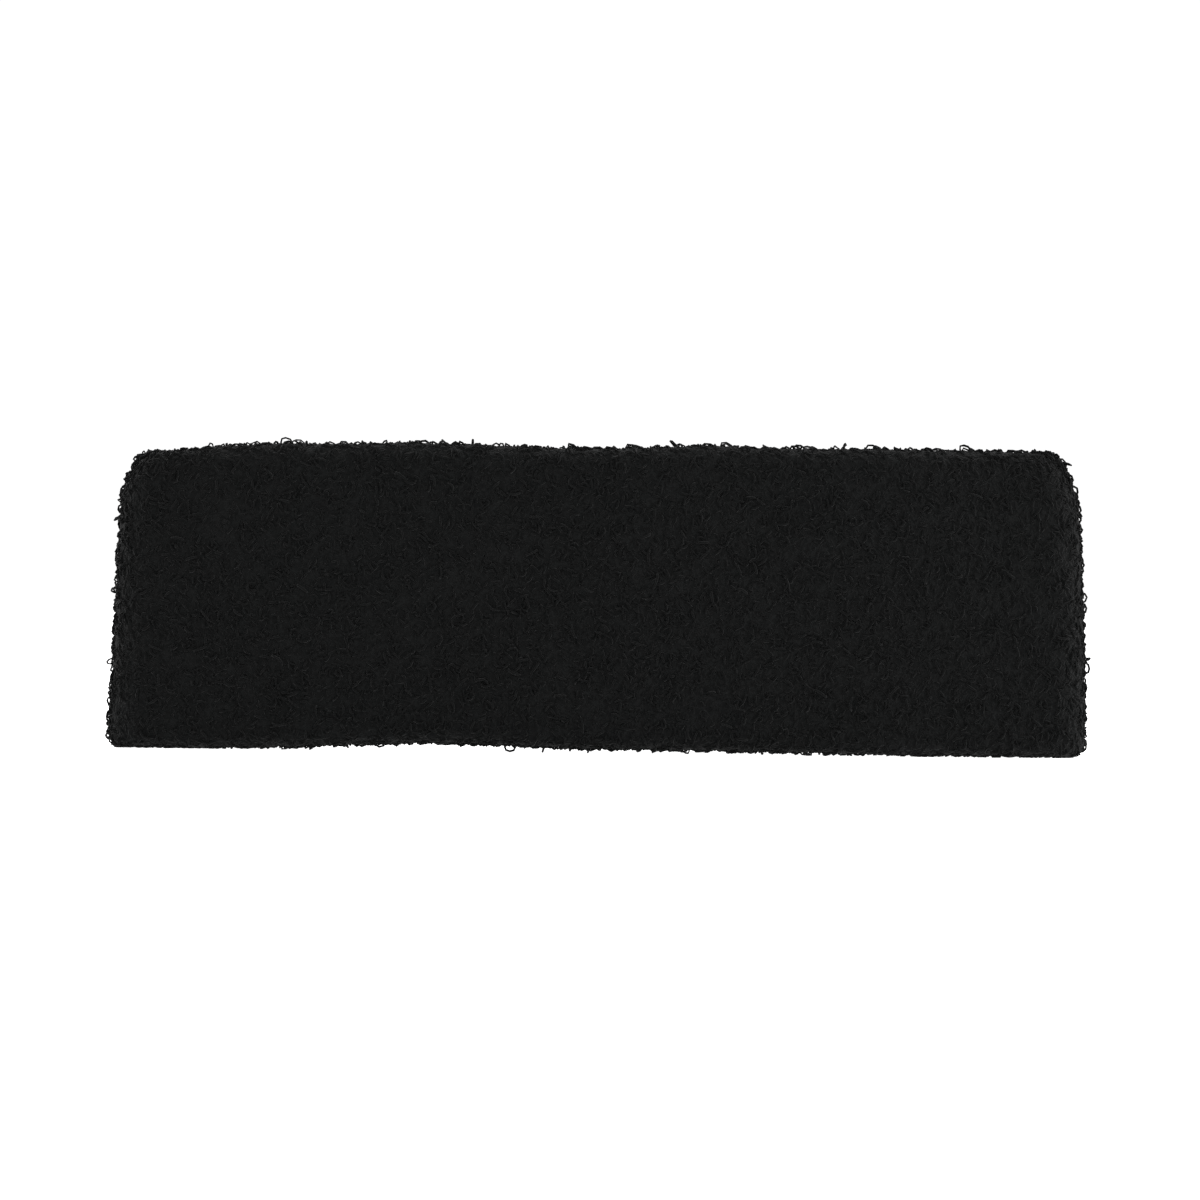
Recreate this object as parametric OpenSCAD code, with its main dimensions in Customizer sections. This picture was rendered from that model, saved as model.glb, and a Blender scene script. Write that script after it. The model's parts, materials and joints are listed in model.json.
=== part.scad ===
// Sports headband: a closed loop of terry knit, folded double into a soft sleeve.
// It stands on its lower edge. The front faces -Y, and the loop goes round +Z.
//
// Seen from above, the loop is a slim lens: a flat front and back panel, four side panels
// that close in, and a tight fold at each end. It opens into a ring by bending at six places:
// at the four corners between the panels, and at the two folds. Each layer is cut there,
// so that the seven lengths can turn against each other.
//
// A layer is drawn once as a cross-section, where x runs outwards through the wall from its
// inner face and y runs up, and is then swept along each of the seven lengths.

/* [Band] */
// Width of the band lying flat, from fold to fold
band_w = 180; // [160:1:200]
// Height of the band
band_h = 56; // [45:1:70]
// Thickness of the wall, which is the knit folded double
wall_t = 6.5; // [6:0.1:7]
// Radius of the rolled upper and lower edges
edge_r = 2.7; // [2.3:0.1:2.9]
// How far apart the front and the back stand in the middle
gap_w = 18; // [14:1:22]
// Width of the straight panel in the middle of the front and of the back
panel_w = 60; // [50:1:70]
// Inside radius of the folds at the two ends
fold_r = 1.2; // [1.2:0.1:2]

/* [Knit] */
// Height of the terry loops
pile_t = 2.1; // [1.9:0.1:2.2]
// Thickness of the ground knit that carries the loops
ground_t = 0.7; // [0.5:0.1:0.7]

/* [Elastic] */
// Thickness of an elastic yarn
elastic_d = 0.6; // [0.4:0.1:0.6]
// Number of elastic yarns from edge to edge
elastic_count = 10; // [6:1:14]

/* [Seam] */
// Height of the closing seam above the lower edge
seam_z = 13; // [8:1:24]
// Width of the seam
seam_h = 3.2; // [2.4:0.2:4]
// How far the sewn edges stand proud of the inner face
seam_t = 0.2; // [0.1:0.05:0.2]
// Thickness of the seam thread
thread_d = 0.5; // [0.3:0.1:0.5]
// Distance from stitch to stitch
stitch_pitch = 3; // [2.5:0.5:5]

/* [Hidden] */
LINKS = ["front", "left_front", "right_front", "left_back", "right_back", "back_left", "back_right"];

cut_gap = 0.3;             // width of the cut between two lengths
pivot_in = 1.2;            // the corners turn about a line this far inside the inner face
yarn_clear = 0.15;         // from an elastic yarn to the knit on either side of it
reach = 2 * band_h;        // larger than any length is tall or thick

corner_x = panel_w / 2;                    // inner face of a corner
corner_y = gap_w / 2;
fold_x = band_w / 2 - fold_r - wall_t;     // middle of a fold
lean = atan2(corner_y, fold_x - corner_x)  // how far a side panel turns from a middle panel
    - asin(fold_r / norm([fold_x - corner_x, corner_y]));
side_len = round(1000 * ((fold_x - corner_x) * cos(lean) + corner_y * sin(lean))) / 1000;
cavity_t = wall_t - 2 * (pile_t + ground_t);
yarn_d = min(elastic_d, cavity_t - 2 * yarn_clear);
yarn_span = band_h - 2 * (pile_t + ground_t) - 2 * yarn_d;

/* Cross-sections */

// The wall's outline, drawn in by inset all round
module outline(inset) {
    w = wall_t - 2 * inset;
    h = band_h - 2 * inset;
    r = edge_r - inset;
    translate([inset, inset])
        if (r > 0) {
            translate([r, 0]) square([w - 2 * r, h]);
            translate([0, r]) square([w, h - 2 * r]);
            for (x = [r, w - r], y = [r, h - r])
                translate([x, y]) circle(r = r, $fn = 48);
        } else {
            square([w, h]);
        }
}

// The slot through the inner face where the sleeve is closed
module seam_slot(proud) {
    translate([-proud, seam_z - seam_h / 2]) square([proud + pile_t, seam_h]);
}

module pile_section() {
    difference() {
        outline(0);
        outline(pile_t);
        seam_slot(1);
    }
}

// The ground knit, with the two sewn edges of the sleeve that come out through the slot
module ground_section() {
    difference() {
        outline(pile_t);
        outline(pile_t + ground_t);
    }
    seam_slot(seam_t);
}

module elastic_section() {
    for (i = [0 : elastic_count - 1])
        translate([wall_t / 2, (band_h - yarn_span) / 2 + yarn_span * i / (elastic_count - 1)])
            circle(d = yarn_d, $fn = 24);
}

// The two threads that run along the seam
module running_thread_section() {
    for (side = [-1, 1])
        translate([-seam_t - thread_d / 2, seam_z + side * (seam_h - thread_d) / 2])
            circle(d = thread_d, $fn = 24);
}

/* Sweeps */

// A cross-section swept along +X from start to end, with its outer side towards -Y
module straight(start, end) {
    translate([start, 0, 0]) rotate([90, 0, 90]) linear_extrude(end - start) mirror([1, 0]) children();
}

// Everything past an upright plane at a corner, on its side towards +X
module past_corner() {
    translate([corner_x, -corner_y, 0])
        rotate(lean / 2)
            translate([0, pivot_in, 0])
                translate([-cut_gap / 2, -reach / 2, -reach]) cube([reach, reach, 3 * reach]);
}

// Everything before the same plane, with the cut between them
module before_corner() {
    translate([corner_x, -corner_y, 0])
        rotate(lean / 2)
            translate([0, pivot_in, 0])
                translate([cut_gap / 2 - reach, -reach / 2, -reach]) cube([reach, reach, 3 * reach]);
}

// The whole middle panel of the front
module front_panel() {
    difference() {
        translate([0, -corner_y, 0]) straight(-corner_x - 1, corner_x + 1) children();
        past_corner();
        mirror([1, 0, 0]) past_corner();
    }
}

// The half of the front's middle panel towards +X, cut in the middle too
module half_panel() {
    difference() {
        translate([0, -corner_y, 0]) straight(cut_gap / 2, corner_x + 1) children();
        past_corner();
    }
}

// The length from the right front corner to the middle of the right fold. The flat and the
// fold are joined lying along X, and then turned together.
module side_panel() {
    difference() {
        translate([corner_x, -corner_y, 0]) rotate(lean) {
            straight(-1, side_len) children();
            translate([side_len, fold_r, 0])
                rotate(-90)
                    rotate_extrude(angle = 90 - lean, $fn = 96) translate([fold_r, 0]) children();
        }
        before_corner();
        translate([0, -cut_gap / 2, -reach]) cube([band_w, reach, 3 * reach]);
    }
}

// Children swept along one of the seven lengths
module sweep(link) {
    if (link == "front") front_panel() children();
    if (link == "right_front") side_panel() children();
    if (link == "left_front") mirror([1, 0, 0]) side_panel() children();
    if (link == "right_back") mirror([0, 1, 0]) side_panel() children();
    if (link == "left_back") rotate(180) side_panel() children();
    if (link == "back_right") mirror([0, 1, 0]) half_panel() children();
    if (link == "back_left") rotate(180) half_panel() children();
}

/* Stitches: each is a short thread across the seam */

module stitch() {
    translate([-thread_d / 2, seam_t, seam_z - seam_h / 2])
        cube([thread_d, thread_d, seam_h]);
}

module stitches_between(start, end) {
    count = floor((end - start) / stitch_pitch);
    for (i = [0 : count - 1])
        translate([start + (end - start) * (i + 0.5) / count, 0, 0]) stitch();
}

module panel_stitches(start) {
    translate([0, -corner_y, 0]) stitches_between(start, corner_x);
}

module side_stitches() {
    translate([corner_x, -corner_y, 0]) rotate(lean) stitches_between(0, side_len);
}

module stitches(link) {
    if (link == "front") panel_stitches(-corner_x);
    if (link == "right_front") side_stitches();
    if (link == "left_front") mirror([1, 0, 0]) side_stitches();
    if (link == "right_back") mirror([0, 1, 0]) side_stitches();
    if (link == "left_back") rotate(180) side_stitches();
    if (link == "back_right") mirror([0, 1, 0]) panel_stitches(0);
    if (link == "back_left") rotate(180) panel_stitches(0);
}

/* Sub-parts */

module terry_pile(link) {
    color([0.09, 0.09, 0.095]) sweep(link) pile_section();
}

module ground_knit(link) {
    color([0.13, 0.13, 0.135]) sweep(link) ground_section();
}

module elastic_yarns(link) {
    color([0.2, 0.2, 0.2]) sweep(link) elastic_section();
}

module seam_thread(link) {
    color([0.16, 0.16, 0.17]) {
        sweep(link) running_thread_section();
        stitches(link);
    }
}

for (link = LINKS) {
    terry_pile(link);
    ground_knit(link);
    elastic_yarns(link);
    seam_thread(link);
}
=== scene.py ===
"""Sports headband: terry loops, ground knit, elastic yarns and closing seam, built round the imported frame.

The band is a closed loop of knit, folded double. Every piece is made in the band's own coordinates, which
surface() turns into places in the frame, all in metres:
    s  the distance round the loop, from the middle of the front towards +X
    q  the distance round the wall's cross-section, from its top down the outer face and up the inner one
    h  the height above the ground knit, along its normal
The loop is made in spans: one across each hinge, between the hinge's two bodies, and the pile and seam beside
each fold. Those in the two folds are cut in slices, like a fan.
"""

import json
import math
from functools import partial

import bpy
import numpy as np
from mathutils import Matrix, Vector


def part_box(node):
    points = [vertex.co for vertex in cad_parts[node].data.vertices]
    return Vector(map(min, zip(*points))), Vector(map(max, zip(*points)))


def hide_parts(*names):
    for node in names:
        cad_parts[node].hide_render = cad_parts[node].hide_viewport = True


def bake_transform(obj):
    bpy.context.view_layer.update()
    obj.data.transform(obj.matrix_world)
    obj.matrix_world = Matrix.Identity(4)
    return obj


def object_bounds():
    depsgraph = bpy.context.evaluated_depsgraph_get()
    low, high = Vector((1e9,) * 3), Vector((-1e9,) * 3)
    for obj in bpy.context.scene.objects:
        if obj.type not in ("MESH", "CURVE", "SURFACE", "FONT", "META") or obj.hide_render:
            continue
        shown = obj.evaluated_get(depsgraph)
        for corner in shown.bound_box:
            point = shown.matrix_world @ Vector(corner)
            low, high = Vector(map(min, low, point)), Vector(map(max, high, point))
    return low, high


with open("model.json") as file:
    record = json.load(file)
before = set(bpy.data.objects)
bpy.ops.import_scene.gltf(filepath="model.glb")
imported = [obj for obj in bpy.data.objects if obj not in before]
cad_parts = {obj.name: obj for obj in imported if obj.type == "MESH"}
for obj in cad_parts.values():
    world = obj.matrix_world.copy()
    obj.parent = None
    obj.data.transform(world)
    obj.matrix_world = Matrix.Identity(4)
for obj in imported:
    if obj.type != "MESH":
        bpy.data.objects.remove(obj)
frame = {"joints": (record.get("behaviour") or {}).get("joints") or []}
CAD_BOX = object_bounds()
MM = 0.001

# ---------------------------------------------------------------- sizes, from the frame
JOINTS = {j["name"]: j for j in frame["joints"]}
_, HIGH = CAD_BOX
HEIGHT = HIGH.z
HALF_WIDTH = HIGH.x
CORNER_X = JOINTS["front_right_corner"]["pos_m"][0]
PILE_LOW, PILE_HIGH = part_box("terry_pile_front")
KNIT_LOW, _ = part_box("ground_knit_front")
YARN_LOW, YARN_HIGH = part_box("elastic_yarns_front")
SEAM_LOW, SEAM_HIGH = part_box("seam_thread_front")
WALL = PILE_HIGH.y - PILE_LOW.y
PILE = KNIT_LOW.y - PILE_LOW.y
FRONT_Y = (PILE_HIGH.y + PILE_LOW.y) / 2
SEAM_Z = (SEAM_LOW.z + SEAM_HIGH.z) / 2
SEAM_WIDTH = SEAM_HIGH.z - SEAM_LOW.z

# sizes that the frame doesn't hold, as in the part's source
KNIT = 0.7 * MM                  # thickness of the ground knit
FOLD_INSIDE = 1.2 * MM           # inside radius of the folds at the two ends
SIDE_LEAN = math.radians(9.2)    # how far the front has turned where it runs straight into a fold

# ---------------------------------------------------------------- the loop seen from above
FOLD_MID = FOLD_INSIDE + WALL / 2


def plan():
    """The length of one quarter of the loop, and s, x, y and heading along the middle of the wall."""
    # a quarter is a gentle arc of length a, a straight of length b, then half a fold
    across = HALF_WIDTH - WALL / 2 - FOLD_MID * (1 - math.sin(SIDE_LEAN))
    back = -FRONT_Y - FOLD_MID * math.cos(SIDE_LEAN)
    a, b = np.linalg.solve(
        [
            [math.sin(SIDE_LEAN) / SIDE_LEAN, math.cos(SIDE_LEAN)],
            [(1 - math.cos(SIDE_LEAN)) / SIDE_LEAN, math.sin(SIDE_LEAN)],
        ],
        [across, back],
    )
    quarter = a + b + FOLD_MID * (math.pi / 2 - SIDE_LEAN)
    turns = [(0, 0), (a, SIDE_LEAN), (a + b, SIDE_LEAN)]
    turns += [(2 * quarter - s, math.pi - t) for s, t in reversed(turns[1:])]
    turns += [(s + 2 * quarter, t + math.pi) for s, t in turns] + [(4 * quarter, 2 * math.pi)]
    s = np.linspace(0, 4 * quarter, 14401)
    heading = np.interp(s, *np.array(turns).T)
    middle = (heading[1:] + heading[:-1]) / 2
    step = s[1] - s[0]
    x = np.concatenate([[0], np.cumsum(np.cos(middle)) * step])
    y = FRONT_Y + np.concatenate([[0], np.cumsum(np.sin(middle)) * step])
    return quarter, s, x, y, heading


QUARTER, PLAN_S, PLAN_X, PLAN_Y, PLAN_HEADING = plan()
LOOP = 4 * QUARTER

# ---------------------------------------------------------------- the wall's cross-section
TOP_CAP = 1.6 * MM       # height of the rolled upper edge of the knit
BOTTOM_CAP = 0.9 * MM    # the lower edge carries the band, so it is flatter
TOP_ROUND = 0.9          # exponent of an edge's curve: 1 gives an ellipse, less a squarer edge
BOTTOM_ROUND = 0.6
CROWN = 0.25 * MM        # how far the faces swell in the middle


def section():
    """(q, u, z, normal u, normal z) round the ground knit's outside. u is the distance out of the middle."""
    half = WALL / 2 - PILE
    turn = np.linspace(0, math.pi / 2, 60)
    top_z, bottom_z = HEIGHT - PILE, PILE
    side = np.linspace(0, 1, 200)[1:-1]
    u = [half * np.sin(turn) ** TOP_ROUND, half + 0 * side, half * np.cos(turn) ** BOTTOM_ROUND]
    z = [
        top_z - TOP_CAP * (1 - np.cos(turn) ** TOP_ROUND),
        top_z - TOP_CAP + side * (bottom_z + BOTTOM_CAP - top_z + TOP_CAP),
        bottom_z + BOTTOM_CAP * (1 - np.sin(turn) ** BOTTOM_ROUND),
    ]
    u, z = np.concatenate(u), np.concatenate(z)
    u = u + CROWN * np.clip(1 - ((z - HEIGHT / 2) / (HEIGHT / 2 - PILE)) ** 2, 0, 1) * u / half
    u, z = np.concatenate([u, -u[-2::-1]]), np.concatenate([z, z[-2::-1]])
    along = np.concatenate([[0], np.cumsum(np.hypot(np.diff(u), np.diff(z)))])
    q = np.linspace(0, along[-1], 1601)
    u, z = np.interp(q, along, u), np.interp(q, along, z)
    du = np.gradient(np.concatenate([u[-6:-1], u, u[1:6]]))
    dz = np.gradient(np.concatenate([z[-6:-1], z, z[1:6]]))
    soft = np.ones(5) / 5
    du, dz = np.convolve(du, soft, "same")[5:-5], np.convolve(dz, soft, "same")[5:-5]
    size = np.hypot(du, dz)
    return q, u, z, -dz / size, du / size


SECTION = section()
GIRTH = SECTION[0][-1]
HALF_GIRTH = GIRTH / 2


def q_at(z):
    """The q on the inner face at this height."""
    q, _, height, _, _ = SECTION
    inner = q > HALF_GIRTH
    return float(np.interp(z, height[inner], q[inner]))


def bend_along(s):
    """How sharply the middle of the wall turns at s, in radians per metre."""
    heading = np.interp([s - 0.5 * MM, s + 0.5 * MM], PLAN_S, PLAN_HEADING)
    return (heading[1] - heading[0]) / MM


def bend_across(q):
    """How sharply the ground knit turns round its edges at q, in radians per metre."""
    table_q, _, _, nu, nz = SECTION
    angle = np.unwrap(np.arctan2(nu, nz))
    angle = np.concatenate([angle[:-1] - 2 * math.pi, angle[:-1], angle + 2 * math.pi])
    q_wide = np.concatenate([table_q[:-1] - GIRTH, table_q[:-1], table_q + GIRTH])
    turned = np.interp([q - 0.25 * MM, q + 0.25 * MM], q_wide, angle)
    return (turned[1] - turned[0]) / (0.5 * MM)


def plan_point(s, out):
    """The place at s, seen from above, this far out of the middle of the wall."""
    heading = np.interp(s, PLAN_S, PLAN_HEADING)
    x, y = np.interp(s, PLAN_S, PLAN_X), np.interp(s, PLAN_S, PLAN_Y)
    return Vector((x + out * math.sin(heading), y - out * math.cos(heading), 0))


def ripple(s, z):
    """The slow unevenness of a soft wall, as a distance along its normal."""
    turn = 2 * math.pi / LOOP
    rise = z / HEIGHT
    return MM * (
        0.16 * np.sin(5 * turn * s + 0.8 + 1.9 * rise)
        + 0.12 * np.sin(9 * turn * s + 2.1 - 2.6 * rise)
        + 0.08 * np.sin(17 * turn * s + 5.0 + 4.0 * rise)
    )


# the waves in each edge: how high, at what x and how wide each one is, in millimetres
UPPER_WAVES = [(0.35, -34, 8), (-0.5, -3, 13), (0.4, 20, 8), (0.15, 52, 7)]
LOWER_WAVES = [(1.2, -32, 22), (0.62, 8, 40)]
BACK_SLACK = 0.3         # share by which the waves are lower on the back than on the front


def added_waves(x, waves):
    """The waves' heights at x, added up, in millimetres."""
    return sum(rise * np.exp(-(((x - place * MM) / (width * MM)) ** 2)) for rise, place, width in waves)


TAPER = 2.2 * MM         # how much further in each end is at the top than at the bottom
LEFT_BULGE = 0.6 * MM    # how much further in the end at -X is above its lowest quarter
BEVEL = 4.4 * MM         # how far the upper corner at +X is pushed in
BEVEL_DOWN = 10.5 * MM   # how far down the end the push reaches
ROUNDING = 3.9 * MM      # the same for the upper corner at -X, which is rounder
ROUNDING_DOWN = 9 * MM
LEFT_DROOP = 1.7 * MM    # how far the upper edge sinks towards the end at -X
DROOP_FROM = 58 * MM     # the -x where it starts to sink
DROOP_LENGTH = 24 * MM


def settle(p):
    """Brings points to the band's shape as it lies: narrower at the top, its edges a little wavy."""
    x, y, z = p[..., 0], p[..., 1], p[..., 2]
    rise = np.clip(z / HEIGHT, 0, 1.05)
    slack = 1 - BACK_SLACK * np.clip(y / FOLD_MID, 0, 1)
    upper = slack * MM * added_waves(x, UPPER_WAVES)
    lower = slack * MM * added_waves(x, LOWER_WAVES)
    droop = LEFT_DROOP * np.clip((-x - DROOP_FROM) / DROOP_LENGTH, 0, 1) ** 1.5
    shift = (upper - droop) * rise + lower * (1 - rise)
    # how near an end is: 0 up to four fifths of the way out, 1 at the end
    near = np.clip((np.abs(x) / HALF_WIDTH - 0.8) / 0.2, 0, 1.1) ** 1.5
    right = BEVEL * np.clip((z - HEIGHT + BEVEL_DOWN) / BEVEL_DOWN, 0, 1.2) ** 1.6
    left = ROUNDING * np.clip((z - HEIGHT + ROUNDING_DOWN) / ROUNDING_DOWN, 0, 1.2) ** 1.6
    left = left + LEFT_BULGE * np.clip(rise / 0.3, 0, 1)
    push = TAPER / HALF_WIDTH * rise * x + near * np.where(x > 0, right, -left)
    return np.stack([x - push, y, z + shift], -1)


def surface(s, q, h):
    """The places of points given in the band's own coordinates."""
    table_q, table_u, table_z, table_nu, table_nz = SECTION
    q = np.mod(q, GIRTH)
    s = np.mod(s, LOOP)
    nu, nz = np.interp(q, table_q, table_nu), np.interp(q, table_q, table_nz)
    z = np.interp(q, table_q, table_z) + h * nz
    out = np.interp(q, table_q, table_u) + h * nu + ripple(s, z)
    heading = np.interp(s, PLAN_S, PLAN_HEADING)
    x = np.interp(s, PLAN_S, PLAN_X) + out * np.sin(heading)
    y = np.interp(s, PLAN_S, PLAN_Y) - out * np.cos(heading)
    return settle(np.stack([x, y, z], -1))


# ---------------------------------------------------------------- meshes
def make_mesh(name, *parts):
    """One object of parts (points, [(faces, smooth)], material). faces holds each face's corners."""
    corners, sizes, smooth, slots = [], [], [], []
    before = 0
    for slot, (points, groups, _) in enumerate(parts):
        for faces, is_smooth in groups:
            corners.append(faces.ravel() + before)
            sizes.append(np.full(len(faces), faces.shape[1]))
            smooth.append(np.full(len(faces), is_smooth))
            slots.append(np.full(len(faces), slot))
        before += len(points)
    corners, sizes = np.concatenate(corners).astype(np.int32), np.concatenate(sizes).astype(np.int32)
    mesh = bpy.data.meshes.new(name)
    mesh.vertices.add(before)
    mesh.vertices.foreach_set("co", np.concatenate([p for p, _, _ in parts]).astype(np.float32).ravel())
    mesh.loops.add(len(corners))
    mesh.loops.foreach_set("vertex_index", corners)
    mesh.polygons.add(len(sizes))
    mesh.polygons.foreach_set("loop_start", np.concatenate([[0], np.cumsum(sizes)[:-1]]).astype(np.int32))
    mesh.polygons.foreach_set("use_smooth", np.concatenate(smooth))
    mesh.polygons.foreach_set("material_index", np.concatenate(slots).astype(np.int32))
    mesh.update(calc_edges=True)
    for _, _, material in parts:
        mesh.materials.append(material)
    mesh.validate()
    obj = bpy.data.objects.new(name, mesh)
    bpy.context.scene.collection.objects.link(obj)
    return obj


def unit(v):
    return v / np.maximum(np.linalg.norm(v, axis=-1, keepdims=True), 1e-12)


def tubes(lines, radius, sides, across, material):
    """Closed tubes along lines (count, points, 3). across (count, 3) is a direction off each line's plane."""
    count, points, _ = lines.shape
    tangent = unit(np.gradient(lines, axis=1))
    first = across[:, None, :] - (across[:, None, :] * tangent).sum(-1, keepdims=True) * tangent
    first = unit(first)
    second = np.cross(tangent, first)
    turn = np.arange(sides) * 2 * math.pi / sides
    ring = np.cos(turn)[:, None] * first[:, :, None, :] + np.sin(turn)[:, None] * second[:, :, None, :]
    verts = lines[:, :, None, :] + ring * np.broadcast_to(radius, (count, points))[:, :, None, None]
    index = np.arange(count * points * sides).reshape(count, points, sides)
    after = np.roll(index, -1, axis=2)
    quads = np.stack([index[:, :-1], after[:, :-1], after[:, 1:], index[:, 1:]], -1).reshape(-1, 4)
    caps = np.concatenate([index[:, 0, ::-1], index[:, -1]])
    return verts.reshape(-1, 3), [(quads, True), (caps, False)], material


# ---------------------------------------------------------------- materials
def new_material(name, roughness, specular, sheen=0.0):
    material = bpy.data.materials.new(name)
    material.use_nodes = True
    shader = material.node_tree.nodes["Principled BSDF"]
    shader.inputs["Roughness"].default_value = roughness
    shader.inputs["Sheen Weight"].default_value = sheen
    shader.inputs["Sheen Roughness"].default_value = 0.5
    shader.inputs["Specular IOR Level"].default_value = specular
    return material, material.node_tree, shader


def noise(tree, scale, detail=3.0):
    """A noise texture in the piece's own space, its scale in cycles per metre."""
    place = tree.nodes.new("ShaderNodeTexCoord")
    node = tree.nodes.new("ShaderNodeTexNoise")
    node.inputs["Scale"].default_value = scale
    node.inputs["Detail"].default_value = detail
    node.inputs["Roughness"].default_value = 0.55
    tree.links.new(place.outputs["Object"], node.inputs["Vector"])
    return node.outputs["Fac"]


def ramp(tree, source, stops):
    node = tree.nodes.new("ShaderNodeValToRGB")
    while len(node.color_ramp.elements) < len(stops):
        node.color_ramp.elements.new(0.5)
    for element, (place, colour) in zip(node.color_ramp.elements, stops):
        element.position = place
        element.color = (*colour, 1)
    tree.links.new(source, node.inputs["Fac"])
    return node.outputs["Color"]


def add_bump(tree, shader, source, strength, distance):
    node = tree.nodes.new("ShaderNodeBump")
    node.inputs["Strength"].default_value = strength
    node.inputs["Distance"].default_value = distance
    tree.links.new(source, node.inputs["Height"])
    tree.links.new(node.outputs["Normal"], shader.inputs["Normal"])


def black(value):
    """Dyed black, which leaves a trace of blue-green."""
    return (value, value * 1.045, value * 1.05)


def black_cotton(name, colour_from, stops, bump_from, strength, distance):
    """Black cotton yarn: matt, fluffy at its edges, its colour made uneven by a pattern.

    colour_from and bump_from make the pattern of its colour and of its bumps in a node tree. On the loops the
    colour is uneven dye; on the packed loops it is painted shade, darker in the grooves between the ridges.
    stops are pairs of a place in the pattern and a brightness.
    """
    material, tree, shader = new_material(name, 0.95, 0.05, sheen=0.04)
    colour = ramp(tree, colour_from(tree), [(place, black(value)) for place, value in stops])
    tree.links.new(colour, shader.inputs["Base Color"])
    add_bump(tree, shader, bump_from(tree), strength, distance)
    return material


def tangle(tree):
    """Winding ridges about as wide as the yarn, for loops packed together; as a colour, painted shade between
    them.
    """
    fac = noise(tree, 1100.0, 0.6)
    fac.node.inputs["Distortion"].default_value = 0.6
    return ramp(tree, fac, [(0.36, (0, 0, 0)), (0.5, (1, 1, 1)), (0.64, (0, 0, 0))])


def plain_knit():
    material, tree, shader = new_material("black_ground_knit", 0.95, 0.1)
    colour = ramp(tree, noise(tree, 900.0), [(0.3, black(0.006)), (0.7, black(0.011))])
    tree.links.new(colour, shader.inputs["Base Color"])
    add_bump(tree, shader, noise(tree, 2400.0, 2.0), 0.8, 0.2 * MM)
    return material


def covered_elastic():
    material, tree, shader = new_material("black_covered_elastic", 0.7, 0.3)
    colour = ramp(tree, noise(tree, 3000.0), [(0.3, black(0.015)), (0.7, black(0.03))])
    tree.links.new(colour, shader.inputs["Base Color"])
    add_bump(tree, shader, noise(tree, 4200.0), 0.5, 0.05 * MM)
    return material


def polyester_thread():
    material, tree, shader = new_material("black_seam_thread", 0.6, 0.12, sheen=0.03)
    colour = ramp(tree, noise(tree, 2600.0), [(0.3, black(0.007)), (0.7, black(0.012))])
    tree.links.new(colour, shader.inputs["Base Color"])
    add_bump(tree, shader, noise(tree, 6000.0), 0.5, 0.04 * MM)
    return material


COTTON = black_cotton(
    "black_cotton_loops",
    lambda tree: noise(tree, 620.0, 4.0),
    [(0.32, 0.0029), (0.52, 0.0033), (0.74, 0.0037)],
    lambda tree: noise(tree, 5200.0, 2.0),
    0.3,
    0.06 * MM,
)
# the packed loops' colour is painted shade: darker in the grooves of tangle(), lighter on its ridges
PACKED_COTTON = black_cotton(
    "black_cotton_packed_loops", tangle, [(0.0, 0.0036), (0.5, 0.0046), (1.0, 0.0056)], tangle, 0.8, 0.25 * MM
)
PLAIN_KNIT, ELASTIC, THREAD = plain_knit(), covered_elastic(), polyester_thread()

# ---------------------------------------------------------------- terry pile
SEAM_Q = q_at(SEAM_Z)
LOOP_GAP = 1.0 * MM       # from loop to loop round the band and from course to course
LOOP_POINTS = 9
LOOP_SIDES = 4
YARN_RADIUS = 0.19 * MM
STRAY = 0.42              # how far a loop's foot strays from its place, as a share of the gap
HEIGHTS = (0.8, 1.1)      # least and greatest height of a loop, as shares of the pile's
WIDTHS = (1.2, 2.2)       # least and greatest width of a loop, in millimetres
CURL = 0.45               # spread of how far a loop's two legs curl to opposite sides, in millimetres
KINK = 0.28               # spread of how far its top curls to the other side than its legs
LEAN = 0.4                # spread of how far its top leans
HANG = 0.1                # how far the tops lean towards higher q on average
ROOT = -0.2 * MM          # a loop starts and ends this far inside the ground knit
PULLED = 0.02             # share of the loops that have been pulled longer
PULLED_MORE = 0.3         # how much longer
LUMP = 0.95 * MM          # size of the lumps where the lower loops are packed together
LUMP_BASE = 0.6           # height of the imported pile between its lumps, as a share of the pile's
LUMP_RISE = 0.28          # how far the lumps rise above that


def pile_height(s, q):
    """Loops are at their full height on the faces, longer at the upper crest and pressed at the lower one."""
    q = np.mod(q, GIRTH)
    top = np.clip(1 - np.minimum(q, GIRTH - q) / (3.0 * MM), 0, 1)
    bottom = np.clip(1 - np.abs(q - HALF_GIRTH) / (4.0 * MM), 0, 1)
    return PILE * (1.08 + 0.08 * top - 0.04 * bottom)


REACH = 0.75 * PILE       # how far above the ground knit the loops stand evenly


def edge_crowding(q):
    """How much closer together loops stand round an edge, to keep their tips as far apart as on a face."""
    return 1 + REACH * bend_across(q)


def fold_crowding(s):
    """The same along the band, for the lumps in a fold, which spread out when the fold opens."""
    return 1 + 0.6 * bend_along(s) * FOLD_MID


def added_up(crowding, whole):
    """Distances from 0 to whole, and the crowding added up to each of them."""
    fine = np.linspace(0, whole, 2001)
    return fine, np.concatenate([[0], np.cumsum(crowding((fine[1:] + fine[:-1]) / 2)) * fine[1]])


CROWDED_Q, Q_TOTAL = added_up(edge_crowding, GIRTH)
CROWDED_S, S_TOTAL = added_up(fold_crowding, LOOP)


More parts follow.
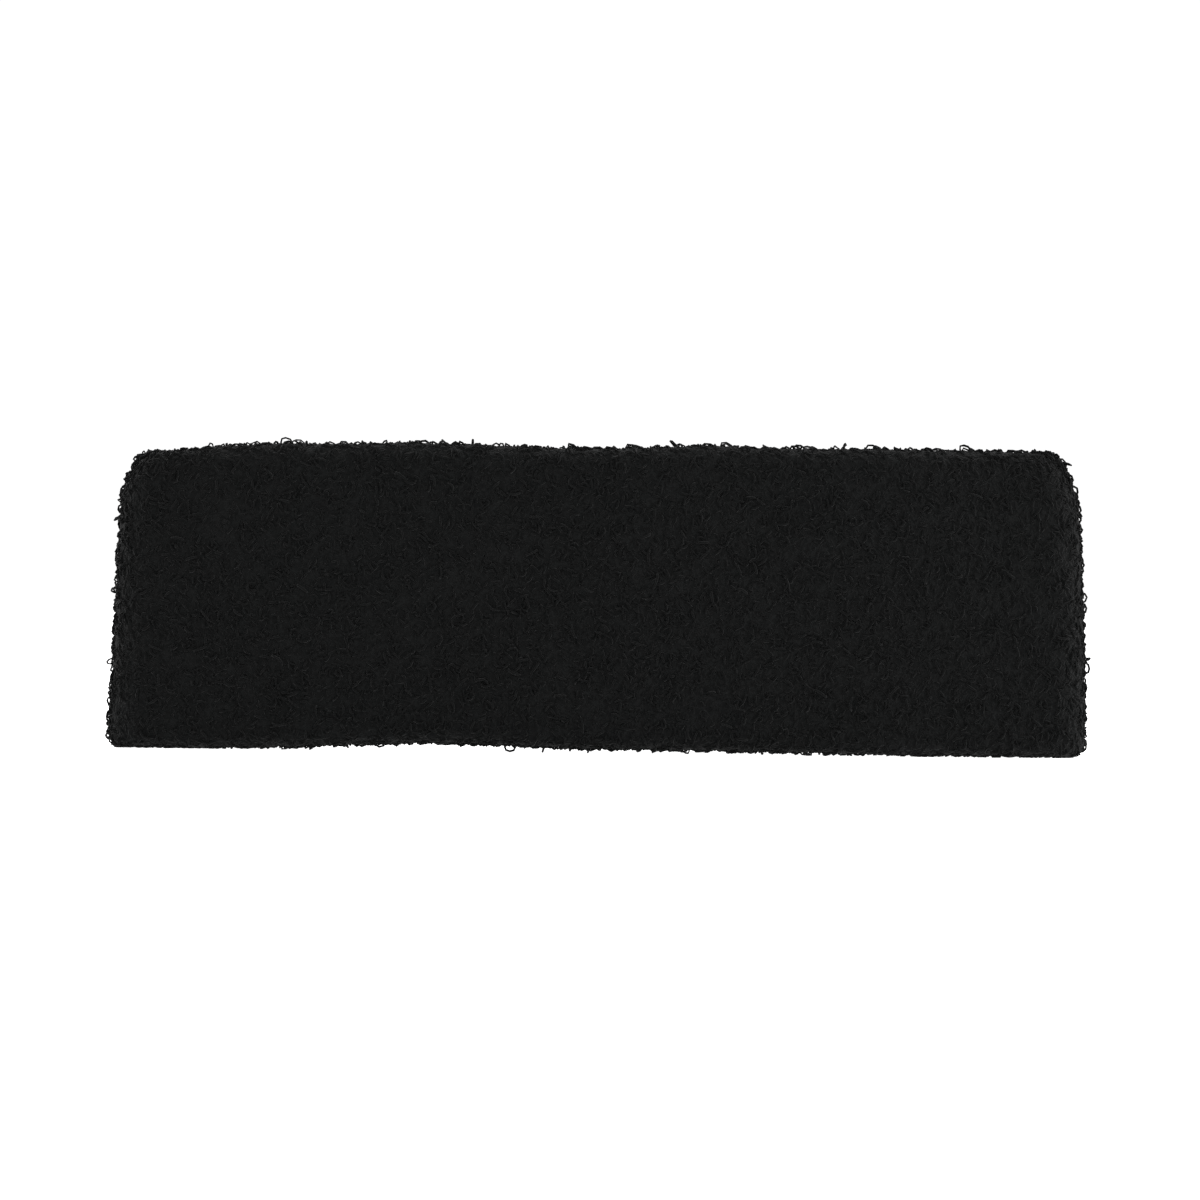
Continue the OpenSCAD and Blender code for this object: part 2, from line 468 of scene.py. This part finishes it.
def packed_height(s, q):
    """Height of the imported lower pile: rounded lumps, as of loops seen from above, and a dip at the seam."""
    columns, rows = round(S_TOTAL[-1] / LUMP), round(Q_TOTAL[-1] / LUMP)
    rng = np.random.default_rng(7)
    jitter = rng.uniform(0.15, 0.85, (2, columns, rows))
    crown = rng.uniform(0.7, 1.0, (columns, rows))
    a = np.interp(np.mod(s, LOOP), CROWDED_S, S_TOTAL) / S_TOTAL[-1] * columns
    b = np.interp(np.mod(q, GIRTH), CROWDED_Q, Q_TOTAL) / Q_TOTAL[-1] * rows
    i, j = np.floor(a).astype(int), np.floor(b).astype(int)
    dome = np.zeros(np.broadcast(a, b).shape)
    for di in (-1, 0, 1):
        for dj in (-1, 0, 1):
            m, n = np.mod(i + di, columns), np.mod(j + dj, rows)
            away = (a - i - di - jitter[0, m, n]) ** 2 + (b - j - dj - jitter[1, m, n]) ** 2
            dome = np.maximum(dome, crown[m, n] * np.sqrt(np.clip(1 - away / 0.9, 0, 1)))
    at_seam = np.clip((np.abs(np.mod(q, GIRTH) - SEAM_Q) - SEAM_WIDTH / 2) / (0.6 * MM), 0.02, 1)
    return pile_height(s, q) * (LUMP_BASE + LUMP_RISE * dome) * at_seam


def spaced(start, end, gap, crowding):
    """How many gaps fit from start to end, and a function from a share of the way, 0 to 1, to its place.

    Places are closer together where the crowding is greater.
    """
    fine = np.linspace(start, end, 2001)
    density = crowding(fine)
    total = np.concatenate([[0], np.cumsum((density[1:] + density[:-1]) / 2 * np.diff(fine))])
    return round(total[-1] / gap), lambda part: np.interp(part * total[-1], total, fine)


def terry(start, end, q_from, q_to, crowding, seed):
    """The loops between two s and two q, each an arch of yarn that leans and curls its own way.

    crowding says how much closer together the loops stand where the band turns: 1 on the outer face, 0 on an
    edge, -1 on the inner face, and more in a fold, whose pile spreads out when it opens. Gives the s of each
    loop's foot, its line, a direction off its plane, and its yarn's radius.
    """
    rng = np.random.default_rng(seed)

    def crowded(s):
        return np.maximum(1 + crowding * REACH * bend_along(s), 0.4)

    s_count, s_at_share = spaced(start, end, LOOP_GAP, crowded)
    q_count, q_at_share = spaced(q_from, q_to, LOOP_GAP, edge_crowding)
    i, j = (a.ravel() for a in np.meshgrid(np.arange(s_count), np.arange(q_count), indexing="ij"))
    number = len(i)
    s = s_at_share((i + 0.25 + 0.5 * (j % 2) + rng.uniform(-STRAY, STRAY, number)) / s_count)
    q = q_at_share((j + 0.5 + rng.uniform(-STRAY, STRAY, number)) / q_count)
    keep = np.abs(q - SEAM_Q) > SEAM_WIDTH / 2 + 0.2 * MM
    s, q = s[keep], q[keep]
    number = len(s)
    even = np.linspace(0, 1, LOOP_POINTS)[None, :]
    t = (even + (1 - np.cos(math.pi * even)) / 2) / 2
    arch = np.sin(math.pi * t)
    pulled = 1 + PULLED_MORE * (rng.random((number, 1)) < PULLED)
    tall = pile_height(s, q)[:, None] * rng.uniform(*HEIGHTS, (number, 1)) * pulled
    wide = rng.uniform(*WIDTHS, (number, 1)) * MM * pulled
    along = -wide / 2 * np.cos(math.pi * t) * (0.6 + 0.75 * arch)
    curl = rng.normal(0, CURL, (number, 1)) * np.sin(2 * math.pi * t)
    curl = curl + rng.normal(0, KINK, (number, 1)) * np.sin(3 * math.pi * t)
    turn = rng.uniform(0, math.pi, (number, 1))
    lean = arch**1.5 * MM
    by_s = along * np.cos(turn) - curl * MM * np.sin(turn) + rng.normal(0, LEAN, (number, 1)) * lean
    by_q = along * np.sin(turn) + curl * MM * np.cos(turn) + rng.normal(HANG, LEAN, (number, 1)) * lean
    up = ROOT + (tall - YARN_RADIUS - ROOT) * arch**0.6 * (1 + 0.12 * curl)
    foot = surface(s, q, 0.0)
    small = 0.05 * MM
    across = unit(surface(s + small, q, 0.0) - surface(s - small, q, 0.0))
    normal = unit(surface(s, q, small) - surface(s, q, -small))
    down = np.cross(normal, across)
    towards_q = surface(s, q + small, 0.0) - surface(s, q - small, 0.0)
    down = down * np.sign((towards_q * down).sum(-1, keepdims=True))
    line = foot[:, None] + by_s[..., None] * across[:, None] + by_q[..., None] * down[:, None]
    line = line + up[..., None] * normal[:, None]
    line[..., 2] = np.maximum(line[..., 2], YARN_RADIUS)
    off_plane = unit(np.cross(line[:, -1] - line[:, 0], line[:, LOOP_POINTS // 2] - line[:, 0]))
    return s, line, off_plane, YARN_RADIUS * rng.uniform(0.85, 1.2, (number, 1))


def yarn_loops(loops, start, end):
    """The part made of the loops whose feet stand between two s."""
    s, line, off_plane, radius = loops
    chosen = (s >= start) & (s < end)
    return tubes(line[chosen], radius[chosen], LOOP_SIDES, off_plane[chosen], COTTON)


# ---------------------------------------------------------------- ground knit, elastic and seam
def layer(start, end, q_from, q_to, step, outside, inside, material):
    """A closed sheet between two s and two q. outside and inside give the height of its two faces."""
    count, s_at_share = spaced(start, end, step, fold_crowding)
    s = s_at_share(np.linspace(0, 1, count + 1))
    count, q_at_share = spaced(q_from, q_to, step, edge_crowding)
    q = q_at_share(np.linspace(0, 1, count + 1))
    grid = np.meshgrid(s, q, indexing="ij")
    points = np.concatenate([surface(*grid, face(*grid)).reshape(-1, 3) for face in (outside, inside)])
    points[:, 2] = np.maximum(points[:, 2], 0)
    rows, columns = len(s), len(q)
    outer = np.arange(rows * columns).reshape(rows, columns)
    inner = outer + rows * columns
    ring = np.concatenate([outer[0, :-1], outer[:-1, -1], outer[-1, :0:-1], outer[:0:-1, 0]])
    under = ring + rows * columns
    faces = [
        np.stack([outer[:-1, :-1], outer[:-1, 1:], outer[1:, 1:], outer[1:, :-1]], -1).reshape(-1, 4),
        np.stack([inner[:-1, :-1], inner[1:, :-1], inner[1:, 1:], inner[:-1, 1:]], -1).reshape(-1, 4),
    ]
    rim = np.stack([ring, under, np.roll(under, -1), np.roll(ring, -1)], -1)
    return points, [(np.concatenate(faces), True), (rim, False)], material


PACKED_STEP = 0.36 * MM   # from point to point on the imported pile
KNIT_STEP = 0.75 * MM     # and on the ground knit
TUCK = 0.8 * MM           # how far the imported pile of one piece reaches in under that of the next
TUCK_DIP = 0.2            # how much lower it is there, as a share of its height
PACKED_UNDER = 0.05 * MM  # how far its underside is sunk in the ground knit


def packed_pile(start, end, q_from, q_to):
    """The lower pile, where the loops are packed too tightly to see apart. Its borders dip under the next."""

    def height(s, q):
        past = np.maximum(np.maximum(start - s, s - end), np.maximum(q_from - q, q - q_to))
        return packed_height(s, q) * (1 - TUCK_DIP * np.clip(past / TUCK, 0, 1) ** 2)

    edges = (start - TUCK, end + TUCK, q_from - TUCK, q_to + TUCK)
    return layer(*edges, PACKED_STEP, height, lambda s, q: -PACKED_UNDER, PACKED_COTTON)


def knit(start, end, q_from, q_to):
    """One face of the ground knit, as a closed sheet of its real thickness."""
    return layer(start, end, q_from, q_to, KNIT_STEP, lambda s, q: 0.0, lambda s, q: -KNIT, PLAIN_KNIT)


ELASTIC_COUNT = 10


def elastic(start, end):
    """The elastic yarns, lying in the sleeve between the two faces of the ground knit."""
    s = np.linspace(start, end, max(24, round((end - start) / (1.0 * MM))))
    z = np.linspace(YARN_LOW.z, YARN_HIGH.z, ELASTIC_COUNT + 2)[1:-1]
    radius = (YARN_HIGH.y - YARN_LOW.y) / 2
    heading = np.interp(s, PLAN_S, PLAN_HEADING)
    x, y = np.interp(s, PLAN_S, PLAN_X), np.interp(s, PLAN_S, PLAN_Y)
    lines = []
    for n, height in enumerate(z):
        out = ripple(s, height) + 0.05 * MM * np.sin(s / (1.7 * MM) + n)
        rise = height + 0.15 * MM * np.sin(s / (6.1 * MM) + 2.4 * n)
        lines.append(settle(np.stack([x + out * np.sin(heading), y - out * np.cos(heading), rise], -1)))
    across = np.tile([0.02, 0.03, 1.0], (len(lines), 1))
    return tubes(np.array(lines), radius, 8, across, ELASTIC)


SEAM_RISE = PILE + 0.1 * MM       # the sewn edges stand this far above the ground knit
STITCH = LOOP / round(LOOP / (2.4 * MM))
THREAD_RADIUS = 0.17 * MM
PINCH = 0.08                      # how much each stitch pulls the sewn edges in, as a share


def sewn_edge(start, end):
    """The sleeve's two edges, laid together and flat against the inner face under the overlock stitches."""
    s = np.linspace(start, end, max(4, round((end - start) / (0.5 * MM))))
    sides = 14
    turn = np.arange(sides) * 2 * math.pi / sides
    half = SEAM_WIDTH / 2 - 0.25 * MM
    pinch = 1 - PINCH * np.cos(2 * math.pi * s / STITCH)[:, None]
    q = SEAM_Q + half * pinch * np.sign(np.cos(turn)) * np.abs(np.cos(turn)) ** 0.7
    h = SEAM_RISE / 2 + SEAM_RISE / 2 * pinch * np.sign(np.sin(turn)) * np.abs(np.sin(turn)) ** 0.7
    points = surface(np.broadcast_to(s[:, None], q.shape), q, h)
    index = np.arange(points.shape[0] * sides).reshape(-1, sides)
    after = np.roll(index, -1, axis=1)
    quads = np.stack([index[:-1], index[1:], after[1:], after[:-1]], -1).reshape(-1, 4)
    ends = np.stack([index[0], index[-1, ::-1]])
    return points.reshape(-1, 3), [(quads, True), (ends, False)], PLAIN_KNIT


def overlock(start, end):
    """Three threads: two loopers that go over and round the sewn edges, and the needle's short stitches."""
    s = np.linspace(start, end, max(4, round((end - start) / STITCH * 12)) + 1)

    def swing(t):
        """Goes from -1 to 1 and back as t grows by 1."""
        return np.sin((2 * np.abs(2 * (t - np.floor(t + 0.5))) - 1) * math.pi / 2)

    t = s / STITCH
    half = SEAM_WIDTH / 2
    over = SEAM_RISE + THREAD_RADIUS * (1.2 - 1.1 * swing(t) ** 6)
    q = np.stack([half * 0.92 * swing(t), -half * (0.45 + 0.5 * swing(t - 0.25) ** 2), half * 0.98 + 0 * t])
    needle_h = SEAM_RISE * 0.72 - 0.55 * MM * np.cos(2 * math.pi * t) ** 4
    h = np.stack([over, SEAM_RISE * 0.9 + THREAD_RADIUS * np.cos(4 * math.pi * t), needle_h])
    across = np.tile([0.02, 0.03, 1.0], (3, 1))
    return tubes(surface(np.tile(s, (3, 1)), SEAM_Q + q, h), THREAD_RADIUS, 6, across, THREAD)


# ---------------------------------------------------------------- the spans
SIDE_MIDDLE = float(np.interp((CORNER_X + HALF_WIDTH) / 2 - 3 * MM, PLAN_X[:3000], PLAN_S[:3000]))
FOLD_HALF = math.pi / 2 - SIDE_LEAN
FOLD_START = QUARTER - FOLD_MID * FOLD_HALF      # where the front runs into the fold at +X
BEND_FROM = CORNER_X - 21 * MM
BEND_TO = CORNER_X + 21 * MM
OUTER_BEND = 5.5 * MM    # how far to each side of a fold's middle the outer layers bend
INNER_BEND = 3.3 * MM
MIDDLE_BEND = (OUTER_BEND + INNER_BEND) / 2
SLICES = 10              # in each fold
WALL_TURN = 0.15         # how far along the blend of a fold its two walls are where they run into it
WALL_REACH = 15 * MM     # how far before a fold its walls start to bend with it
APART = 0.05 * MM        # how far the knit stops short of the cut in the middle of the back

# name, start, end, first body and second body of each span that crosses a hinge
HINGES = [
    ("front_right", 0.0, SIDE_MIDDLE, "front", "right_front"),
    ("fold_right", SIDE_MIDDLE, 2 * QUARTER - SIDE_MIDDLE, "right_front", "right_back"),
    ("back_right", 2 * QUARTER - SIDE_MIDDLE, 2 * QUARTER - APART, "right_back", "back_right"),
    ("back_left", 2 * QUARTER + APART, 2 * QUARTER + SIDE_MIDDLE, "back_left", "left_back"),
    ("fold_left", 2 * QUARTER + SIDE_MIDDLE, LOOP - SIDE_MIDDLE, "left_back", "left_front"),
    ("front_left", LOOP - SIDE_MIDDLE, LOOP, "left_front", "front"),
]

# name (a body's own), start and end of each straight run beside a fold, and the fold's two bodies
SIDES = [
    ("right_front", SIDE_MIDDLE, FOLD_START, "right_front", "right_back"),
    ("right_back", 2 * QUARTER - FOLD_START, 2 * QUARTER - SIDE_MIDDLE, "right_front", "right_back"),
    ("left_back", 2 * QUARTER + SIDE_MIDDLE, 2 * QUARTER + FOLD_START, "left_back", "left_front"),
    ("left_front", LOOP - FOLD_START, LOOP - SIDE_MIDDLE, "left_back", "left_front"),
]


def bend_at_corner(piece, first, second):
    """Bakes the transform of a piece between a middle panel and a side panel into its mesh."""
    side = 1 if "right" in first + second else -1
    start, end = (side * BEND_FROM, 0, 0), (side * BEND_TO, 0, 0)
    if first.startswith(("right", "left")):
        start, end = end, start
    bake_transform(piece)


def bend_beside_fold(piece, first, second, body):
    """Bakes the transform of a piece of a straight run beside a fold into its mesh."""
    side = 1 if body.startswith("right") else -1
    near = plan_point(FOLD_START, 0).x
    start, end = side * (near - WALL_REACH), side * (near - WALL_REACH + WALL_REACH / WALL_TURN)
    if body == second:
        start, end = end, start
    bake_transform(piece)


def bend_in_fold(piece):
    """Bakes the transform of a thin layer in a fold into its mesh."""
    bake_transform(piece)


def smooth(t):
    """The share of a blend's turn that a point takes at t of the way along it."""
    return t**2 * (3 - 2 * t)


def unsmooth(share):
    """The t at which smooth() gives this share."""
    return 0.5 - math.sin(math.asin(1 - 2 * share) / 3)


def slices(middle):
    """Cuts the fold at this s so that each slice turns by an equal share.

    Gives each slice's start, the share there, its end and the share there.
    """
    cuts = []
    first = smooth(WALL_TURN)
    for share in np.linspace(first, 1 - first, SLICES + 1):
        sine = (2 * unsmooth(share) - 1) / (1 - 2 * WALL_TURN)
        angle = math.asin(max(-math.sin(FOLD_HALF), min(math.sin(FOLD_HALF), sine)))
        cuts.append((middle + FOLD_MID * angle, share))
    return [(*a, *b) for a, b in zip(cuts[:-1], cuts[1:])]


def bend_slice(piece):
    """Bakes the transform of a slice of a fold into its mesh."""
    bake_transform(piece)


def stands_for(piece, kind, slot, *bodies):
    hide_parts(*(f"{kind}_{body}" for body in bodies))


EDGE = 3 * MM            # how far an edge's own loops reach down each face
FOLD_EDGE = 2 * MM       # the same in a fold

# name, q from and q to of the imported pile's two strips, which meet at the lower edge and under the seam
PACKED = [("packed_loops", SEAM_Q - GIRTH, HALF_GIRTH), ("packed_loops_below_seam", HALF_GIRTH, SEAM_Q)]

# name, q from, q to and crowding of each strip of single loops round the cross-section
STRIPS = [
    ("upper_edge", -EDGE, EDGE, 0),
    ("outer_face", EDGE, HALF_GIRTH - EDGE, 1),
    ("lower_edge", HALF_GIRTH - EDGE, HALF_GIRTH + EDGE, 0),
    ("inner_face", HALF_GIRTH + EDGE, GIRTH - EDGE, -1),
]


def straight_run(label, start, end, seed, attach, *bodies):
    """The pile and the seam outside the folds. Gives the pieces on the outer and on the inner knit."""
    pile = {strip: make_mesh(f"{strip}_{label}", packed_pile(start, end, *q)) for strip, *q in PACKED}
    for number, (strip, q_from, q_to, crowding) in enumerate(STRIPS):
        loops = terry(start, end, q_from, q_to, crowding, seed + number)
        pile[strip] = make_mesh(f"{strip}_loops_{label}", yarn_loops(loops, start - 1, end + 1))
    for piece in pile.values():
        attach(piece)
        stands_for(piece, "terry_pile", "terry_pile", *bodies)
    edges = make_mesh(f"sewn_edges_{label}", sewn_edge(start, end))
    stitches = make_mesh(f"overlock_thread_{label}", overlock(start, end))
    attach(edges)
    attach(stitches)
    stands_for(edges, "ground_knit", "ground_knit", *bodies)
    stands_for(stitches, "seam_thread", "seam_thread", *bodies)
    on_outer = [pile["packed_loops"], pile["outer_face"], pile["upper_edge"]]
    return on_outer, [pile["packed_loops_below_seam"], pile["inner_face"], pile["lower_edge"], edges]


# name, q from, q to, crowding and bend of each strip of pile in a fold
FOLDED = [
    ("upper_edge", -FOLD_EDGE, FOLD_EDGE, 1.5, MIDDLE_BEND),
    ("outer_face", FOLD_EDGE, HALF_GIRTH - FOLD_EDGE, 1.7, OUTER_BEND + 0.4 * PILE),
    ("lower_edge", HALF_GIRTH - FOLD_EDGE, HALF_GIRTH + FOLD_EDGE, 1.5, MIDDLE_BEND),
    ("inner_face", HALF_GIRTH + FOLD_EDGE, GIRTH - FOLD_EDGE, 1.5, INNER_BEND - 0.4 * PILE),
]


def folded_run(label, middle, seed, first, second):
    """The pile and the seam in one fold, in slices, given as straight_run() gives them."""
    start, end = middle - FOLD_MID * FOLD_HALF, middle + FOLD_MID * FOLD_HALF
    pile = {"outer": [], "inner": []}
    for strip_number, (strip, q_from, q_to, crowding, bend) in enumerate(FOLDED):
        loops = terry(start, end, q_from, q_to, crowding, seed + strip_number)
        for number, cut in enumerate(slices(middle), 1):
            a, b = cut[0], cut[2]
            parts = yarn_loops(loops, a, b), packed_pile(a, b, q_from, q_to)
            piece = make_mesh(f"{strip}_{label}_{number}", *parts)
            bend_slice(piece)
            stands_for(piece, "terry_pile", "terry_pile", first, second)
            pile["inner" if strip in ("lower_edge", "inner_face") else "outer"].append(piece)
    for number, cut in enumerate(slices(middle), 1):
        edges = make_mesh(f"sewn_edges_{label}_{number}", sewn_edge(cut[0], cut[2]))
        stitches = make_mesh(f"overlock_thread_{label}_{number}", overlock(cut[0], cut[2]))
        for piece in (edges, stitches):
            bend_slice(piece)
        stands_for(edges, "ground_knit", "ground_knit", first, second)
        stands_for(stitches, "seam_thread", "seam_thread", first, second)
        pile["inner"].append(edges)
    return pile["outer"], pile["inner"]


pile_on = {}     # by body, the pieces on the outer and on the inner knit of each straight run beside a fold
for number, (label, start, end, first, second) in enumerate(SIDES):
    attach = partial(bend_beside_fold, first=first, second=second, body=label)
    pile_on[label] = straight_run(label, start, end, 200 + 10 * number, attach, label)

for number, (label, start, end, first, second) in enumerate(HINGES):
    outer_knit = make_mesh(f"outer_knit_{label}", knit(start, end, 0, HALF_GIRTH))
    inner_knit = make_mesh(f"inner_knit_{label}", knit(start, end, HALF_GIRTH, GIRTH))
    yarns = make_mesh(f"elastic_yarns_{label}", elastic(start, end))
    if label.startswith("fold"):
        on_outer, on_inner = folded_run(label, (start + end) / 2, 100 + 10 * number, first, second)
        on_outer = on_outer + pile_on[first][0] + pile_on[second][0]
        on_inner = on_inner + pile_on[first][1] + pile_on[second][1]
        for piece, radius in ((outer_knit, OUTER_BEND), (yarns, MIDDLE_BEND), (inner_knit, INNER_BEND)):
            bend_in_fold(piece)
    else:
        attach = partial(bend_at_corner, first=first, second=second)
        on_outer, on_inner = straight_run(label, start, end, 100 + 10 * number, attach, first, second)
        for piece in (outer_knit, yarns, inner_knit):
            attach(piece)
    for piece in (outer_knit, inner_knit):
        stands_for(piece, "ground_knit", "ground_knit", first, second)
    stands_for(yarns, "elastic_yarns", "elastic_yarn", first, second)

# ---------------------------------------------------------------- stage, camera and light
FRAME_WIDTH = 218.5 * MM     # what the picture spans at the band
DISTANCE = 1.6
AIM = Vector((0.5 * MM, FRONT_Y, HEIGHT / 2))
ROLL = math.radians(-0.65)


def stage():
    """A wide white floor, lit from below like a light table, so that it shows no shadow."""
    material, _, shader = new_material("stage_white", 0.9, 0.0)
    shader.inputs["Base Color"].default_value = (0.5, 0.5, 0.5, 1)
    shader.inputs["Emission Color"].default_value = (1, 1, 1, 1)
    shader.inputs["Emission Strength"].default_value = 1.0
    turn = np.linspace(0, 2 * math.pi, 65)[:-1]
    radius = 30.0
    points = np.stack([radius * np.cos(turn), radius * np.sin(turn), np.full_like(turn, -0.02 * MM)], -1)
    make_mesh("floor", (points, [(np.arange(64)[None], False)], material))


def area_light(name, place, target, size, power):
    data = bpy.data.lights.new(name, "AREA")
    data.shape = "RECTANGLE"
    data.size, data.size_y = size
    data.energy = power
    lamp = bpy.data.objects.new(name, data)
    lamp.location = place
    lamp.rotation_euler = (Vector(target) - Vector(place)).to_track_quat("-Z", "Y").to_euler()
    lamp.visible_camera = False
    bpy.context.scene.collection.objects.link(lamp)


def camera():
    data = bpy.data.cameras.new("camera")
    data.sensor_width = 36.0
    data.lens = 36.0 * DISTANCE / FRAME_WIDTH
    cam = bpy.data.objects.new("camera", data)
    cam.location = AIM + Vector((0, -DISTANCE, 0))
    cam.rotation_euler = (math.pi / 2, ROLL, 0)
    data.clip_start, data.clip_end = 0.05, 100
    bpy.context.scene.collection.objects.link(cam)
    bpy.context.scene.camera = cam


def light():
    world = bpy.data.worlds.new("studio")
    world.use_nodes = True
    world.node_tree.nodes["Background"].inputs["Color"].default_value = (1, 1, 1, 1)
    world.node_tree.nodes["Background"].inputs["Strength"].default_value = 1.05
    bpy.context.scene.world = world
    middle = (0, 0, HEIGHT / 2)
    area_light("front", (0.3, -2.0, 0.35), middle, (1.6, 1.2), 8)
    area_light("right", (1.5, -0.6, 0.5), middle, (0.6, 0.9), 14)
    area_light("back_left", (-1.1, 1.5, 0.9), middle, (1.0, 0.8), 22)
    area_light("over", (0.2, 0.3, 1.6), middle, (1.2, 1.2), 14)
    bpy.context.scene.view_settings.view_transform = "Standard"


stage()
camera()
light()
